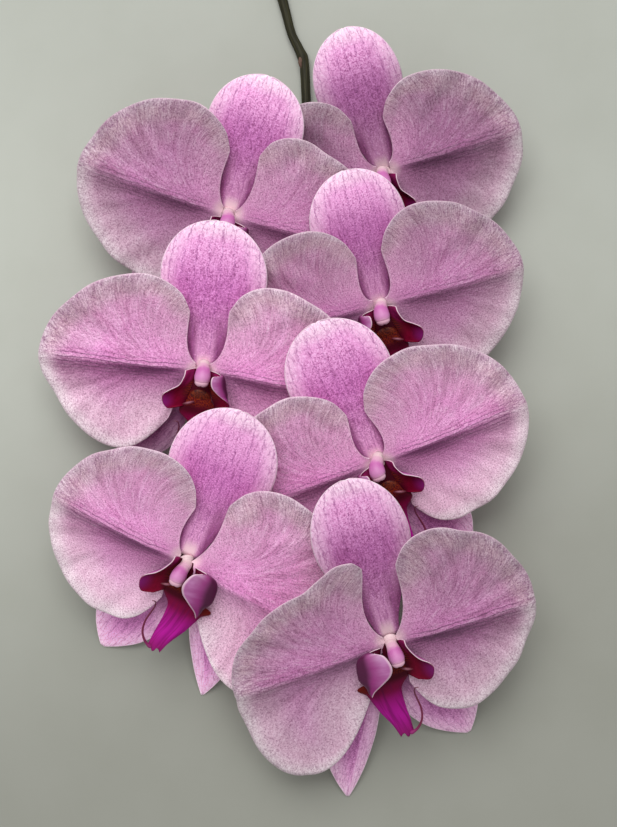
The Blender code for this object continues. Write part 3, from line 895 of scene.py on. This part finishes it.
def makeLip(number, bloom, toWorld, skins):
    s = lipShape
    c = callusShape
    side = bloom["side"]
    form = s["turned" if number > 5 else "open"]
    shiftX, shiftY, turn = bloom.get("lip", (0, 0, 0))
    toWorld = (toWorld @ Matrix.Translation((side * shiftX, shiftY, 0))
                    @ Matrix.Rotation(radians(turn), 4, "Z"))
    mirrored = toWorld @ Matrix.Scale(side, 4, (1, 0, 0))
    # the lip's tone, with painted light and shade in it
    toneAndShading = bloom["toneAndShading"][4]
    pieces = [makeSheet(f"lipFloor{number}", s, lipFloorPlace(form, side, number, toneAndShading),
                        [skins["floor"]] * 3, toWorld)]
    for name, way in (("inner", side), ("outer", -side)):
        place = lobePlace(*form[name], side, number, toneAndShading)
        pieces.append(makeSheet(f"{name}Lobe{number}", s["lobe"], place,
                                [skins[key] for key in ("face", "back", "rim")], toWorld,
                                (way, 0, 0)))

    def dome(around, share):
        rise = (share - 0.5) * pi
        x = c["centre"][0] + c["size"][0] * cos(rise) * cos(around)
        y = c["centre"][1] + c["size"][1] * cos(rise) * sin(around)
        z = c["centre"][2] + c["size"][2] * sin(rise)
        return Vector((x, y, z)), (around, share, number), (x, y, z + number * 10)

    tip = Vector((*form["floor"][-1][:2], 0))
    tendril = [tip + Vector(point) for point in s["tendril"]]
    for name, grid, place in (
            ("callus", c["grid"], dome),
            ("tooth", c["toothGrid"], tubeAlong(c["tooth"], c["toothRadii"], seed=number)),
            ("tendril", s["tendrilGrid"], tubeAlong(tendril, s["tendrilRadii"], seed=number))):
        pieces.append(makeRound(f"{name}{number}", grid, place, skins[name], mirrored))
    for piece in pieces:
        settle(piece, f"lip_{number}")


print("lips ready")

# columns: a collar where the sepals and petals meet, the column, and its anther cap

columnShape = dict(
    grid=(36, 60),
    # from the collar, y up the bloom and z out of it
    route=((-0.6, -0.6), (0, 2), (-0.2, 4.4), (-1.4, 6.6), (-3.4, 8.2), (-5.3, 8.9)),
    radii=((0, 0.02), (0.01, 2.6), (0.12, 2.3), (0.3, 2.15), (0.5, 2.5), (0.7, 2.95), (0.86, 2.85),
           (0.96, 2.1), (1, 0.02)),
    squash=0.9,
    capGrid=(28, 24),
    cap=(-4.7, 9.1),
    capSize=(2.6, 1.7, 1.9),
    notch=(0.3, 0.18),  # how deep and how wide the cap's beak is parted, as shares
)

# column flesh: waxy, cream where it joins the sepals, pink above, with a pale cap
columnFinish = dict(
    column=((0.24, "#e0c2c6"), (0.3, "#d8b4bc"), (0.36, "#e0c2c6"), (0.5, "#d8a8be"),
            (0.66, "#bf68a8"), (0.86, "#c880b4"), (1, "#d49cb8")),
    cap=((0.2, "#cc8cb8"), (0.8, "#d8a8bc")),
    roughness=0.42, gloss=0.35, sway=0.12, cloud=1.4286,  # share of its length, and mm
)


def makeColumn(number, bloom, toWorld, skins):
    s = columnShape
    side = bloom["side"]
    heartX, heartY = bloom["heart"]
    wide, tall, high = s["capSize"]
    notchDeep, notchWide = s["notch"]

    def leaning(y, z):
        lean = smooth(2, 9, z)
        return (side * (heartX * smooth(-0.6, 2, z) + bloom["nod"] * lean),
                y + heartY * smooth(-1.2, 2, z), z)

    def capPlace(turn, share):
        rise = (share - 0.5) * pi
        x = cos(rise) * cos(turn)
        y = cos(rise) * sin(turn)
        notch = 1 - notchDeep * exp(-(x / notchWide) ** 2) * (y < 0) * -y
        point = Vector((x * wide, y * tall * notch, sin(rise) * high))
        return Vector(leaning(*s["cap"])) + point, (turn, share, number), tuple(point)

    route = [leaning(y, z) for y, z in s["route"]]
    for name, grid, place, skin in (
            ("column", s["grid"], tubeAlong(route, s["radii"], s["squash"], number), skins[0]),
            ("antherCap", s["capGrid"], capPlace, skins[1])):
        piece = makeRound(f"{name}{number}", grid, place, skin, toWorld)
        settle(piece, f"column_{number}")


print("columns ready")

# stem and flower stalks

stemShape = dict(
    grid=(20, 260),
    route=((-11.6, 169, 2.1), (-9.1, 159.8, 2.1), (-6.8, 151.1, 2.2), (-4.1, 145.3, 2.4),
           (-2, 140.4, 2.7), (-1.4, 135, 2.9), (-1, 126.4, 3.4), (-0.6, 118, 3.9),
           (0, 106, 4.5), (1, 90, 5), (-1.5, 70, 5.5), (1.5, 48, 5.5), (-1.5, 25, 5.5),
           (1.5, 0, 5.5), (-1, -22, 6), (1, -42, 7), (0, -58, 9)),
    radii=((0, 2.05), (0.12, 1.75), (0.2, 1.9), (0.5, 1.8), (1, 1.3)),
    flat=0.004,  # share of its length over which an end closes
    node=(0.235, 0.022, 0.3),  # the bare node: where, how long as shares, how thick in mm
    bractGrid=(16, 30),
    bract=((-2.4, 142.6, 4.1), (-2.9, 140.7, 4), (-3.2, 138.6, 4), (-2.6, 136, 3.9)),
    bractRadii=((0, 0.02), (0.1, 0.55), (0.4, 0.95), (0.75, 0.7), (1, 0.02)),
    bractSquash=0.7,
)
stalkShape = dict(
    grid=(20, 60),
    gap=0.3,  # mm from the stem
    above=14,  # mm up the stem from the bloom's middle, where its stalk starts
    lowest=3,  # mm from the stem's tip
    behind=-9, back=-3.4,  # mm behind the bloom, where the stalk turns to it and swells
    cup=0.75,  # mm from the sepals' level to the stalk's end
    sag=0.25,  # how soon it rises: share of the rise at half way
    radii=((0, 0.02), (0.01, 1.3), (0.5, 1.2), (0.72, 1.3), (0.8, 2.2), (0.9, 4.4), (0.985, 5),
           (1, 0.02)),
)


# stem skin: herbaceous stalk, dark olive, smooth, with faint ribs along it
stemFinish = dict(
    stem=((0, "#1f1e10"), (1, "#1f1e10")), stalk=((0, "#3f3d24"), (1, "#8a6068")),
    # the bract: lighter at its middle, a painted highlight
    bract=((0, "#523c36"), (0.5, "#6c5048"), (1, "#523c36")), light="#3f3d24",
    roughness=0.6, gloss=0.2,
    ribSize=(0.4, 0.11111),  # radians around it, and share of its length
    relief=(0.3, 0.2),  # how strong, and mm
)


def stemSkin(name, stops):
    f = stemFinish
    skin, add = newSkin(name)
    (rolled, turn, share, seed), = readNumbers(add, "pattern")
    rib = stretchedNoise(add, rolled, f["ribSize"], 4, 0.5)
    masks = readMasks(add, rib=(rib, 0.4, 0.7, 0, 0.7))
    body = add("ValToRGB", {0: share, "stops": f[stops]})
    return finishSkin(skin, add, layColours(add, body, f, masks, ("light", "rib")), f, height=rib)


def makeStem(skin, bractSkin):
    s = stemShape
    tube = tubeAlong(s["route"], s["radii"])

    def place(turn, share):
        # the ends close flat
        end = smooth(0, s["flat"], share) * smooth(0, s["flat"], 1 - share)
        where, long, thick = s["node"]
        end *= 1 + thick / s["radii"][0][1] * exp(-((share - where) / long) ** 2)
        point, *numbers = tube(turn, share)
        centre = along(s["route"], share)
        return centre + (point - centre) * end, *numbers

    settle(makeRound("stemRachis", s["grid"], place, skin, sprayToWorld), "stem")
    bract = tubeAlong(s["bract"], s["bractRadii"], s["bractSquash"])
    settle(makeRound("bract", s["bractGrid"], bract, bractSkin, sprayToWorld), "stem")


def makeStalk(number, bloom, toWorld, skin):
    s = stalkShape
    stem = stemShape["route"]
    toSpray = sprayToWorld.inverted() @ toWorld
    nodeY = max(bloom["centre"][1] + s["above"], stem[-1][1] + s["lowest"])
    start = through([(-point[1], Vector(point)) for point in stem], -nodeY)
    start.x += bloom["side"] * (stemShape["radii"][0][1] + 2 * s["gap"])
    behind, back, cup = [toSpray @ Vector((0, 0, level)) for level in (
        s["behind"], s["back"], sepalShape["level"] - s["cup"])]
    low = start.lerp(behind, 0.5)
    low.z = start.z + s["sag"] * (behind.z - start.z)
    place = tubeAlong((start, low, behind, back, cup), s["radii"], seed=number)
    settle(makeRound(f"stalk{number}", s["grid"], place, skin, sprayToWorld),
           f"pedicel_{number}")


print("stem ready")

# put it together

back, rimEdge = backSkin(), speckledSkin("petalRim", backFinish, "rim", "pattern", 0.5, sheen=0)
petalSkins, sepalSkins = (petalSkin(), back, rimEdge), (sepalSkin(), back, rimEdge)
columnSkins = (tubeSkin("waxyColumn", columnFinish, "column"),
               tubeSkin("antherCap", columnFinish, "cap"))
lipSkins = dict(
    floor=lipFloorSkin(), face=lobeFaceSkin(), back=lobeBackSkin(), rim=lobeRimSkin(),
    callus=speckledSkin("glossyCallus", callusFinish, "callus", "spot", 0.6),
    tooth=tubeSkin("glossyTooth", callusFinish, "tooth", gloss=0.35),
    tendril=tubeSkin("waxyTendril", lipFinish, "tendril", gloss=0.5),
)
makeStem(stemSkin("oliveStem", "stem"), stemSkin("dryBract", "bract"))
stalkTone = stemSkin("pinkStalk", "stalk")
for number, bloom in enumerate(blooms, 1):
    toWorld = bloomFrame(bloom)
    makeStalk(number, bloom, toWorld, stalkTone)
    # the sepals' tones, with painted light and shade in them
    dorsalToneAndShading, lateralToneAndShading = bloom["toneAndShading"][2:4]
    leftRow, rightRow = bloom["laterals"]
    for k, (word, side) in enumerate((("left", -1), ("right", 1))):
        place = petalPlace(bloom["petals"][k], bloom["creases"][k], side,
                           number * 2 + side * 0.5, bloom["toneAndShading"][k])
        piece = makeSheet(f"petal{word.title()}{number}", petalShape, place, petalSkins, toWorld)
        settle(piece, f"petal_{word}_{number}")
    for name, node, place in (
            ("Dorsal", "dorsal_sepal", dorsalPlace(bloom["dorsal"], number, dorsalToneAndShading)),
            ("Left", "lateral_sepal_left", lateralPlace(leftRow, number + 0.3, lateralToneAndShading)),
            ("Right", "lateral_sepal_right", lateralPlace(rightRow, number + 0.6, lateralToneAndShading))):
        piece = makeSheet(f"sepal{name}{number}", sepalShape, place, sepalSkins, toWorld)
        settle(piece, f"{node}_{number}")
    makeLip(number, bloom, toWorld, lipSkins)
    makeColumn(number, bloom, toWorld, columnSkins)
    print("bloom", number)


# floor, light and camera

studio = dict(
    # near, far: painted shade, darker towards the near right and a little at the far side
    floor="#b4b7ae", near="#96978e", far="#eeeeee", grain="#f6f6f4",
    roughness=0.75, gloss=0.3,
    floorSize=6,  # m
    grainSize=0.033333,  # m
    world=0.55,
    window=(-0.15, 0.55, 0.8),  # m, a big soft window beyond the top left
    windowSize=0.8,
    windowPower=8.7,
    cameraHeight=0.525,
    sensor=36,  # mm
    across=0.617 * 0.38,  # m seen across at the blooms' height
    bloomHeight=0.025,
)


def makeFloor():
    bpy.ops.mesh.primitive_plane_add(size=studio["floorSize"])
    floor = bpy.context.object
    floor.name = "floor"
    skin, add = newSkin("paintedBoard")
    where = add("TexCoord", {}, "Object")
    grain = add("TexNoise", {"Scale": 1 / studio["grainSize"], "Detail": 4, "Vector": where})
    # painted shade: the board is darker towards the near right, and a little at the far side
    shadeSlant, far = [add("VectorMath DOT_PRODUCT", {0: where, 1: way},
                          "Value") for way in ((0.3, -1, 0), (0.2, 1, 0))]
    masks = readMasks(add, grain=(grain, 0.3, 0.8, 0, 0.6), near=(shadeSlant, -0.07, 0.14, 0, 1),
                      far=(far, 0.03, 0.15, 0, 1))
    body = layColours(add, toLinear(studio["floor"]), studio, masks, ("near", "near"),
                      ("far", "far", "MULTIPLY"), ("grain", "grain", "MULTIPLY"))
    floor.data.materials.append(finishSkin(skin, add, body, studio))


def makeLight():
    world = bpy.data.worlds.new("room")
    bpy.context.scene.world = world
    world.use_nodes = True
    sky = world.node_tree.nodes["Background"].inputs
    sky[0].default_value = (1, 1, 1, 1)
    sky[1].default_value = studio["world"]
    lamp = bpy.data.lights.new("window", "AREA")
    lamp.size = studio["windowSize"]
    lamp.energy = studio["windowPower"]
    window = bpy.data.objects.new("window", lamp)
    window.location = studio["window"]
    window.rotation_euler = (-Vector(studio["window"])).to_track_quat("-Z", "Y").to_euler()
    bpy.context.scene.collection.objects.link(window)


def makeCamera():
    data = bpy.data.cameras.new("camera")
    data.sensor_fit = "HORIZONTAL"
    data.sensor_width = studio["sensor"]
    distance = studio["cameraHeight"] - studio["bloomHeight"]
    data.lens = studio["sensor"] * distance / studio["across"]
    camera = bpy.data.objects.new("camera", data)
    camera.location = sprayToWorld.translation
    camera.location.z = studio["cameraHeight"]
    bpy.context.scene.collection.objects.link(camera)
    bpy.context.scene.camera = camera


makeFloor()
makeLight()
makeCamera()
bpy.context.scene.view_settings.view_transform = "Standard"
print("stage ready")
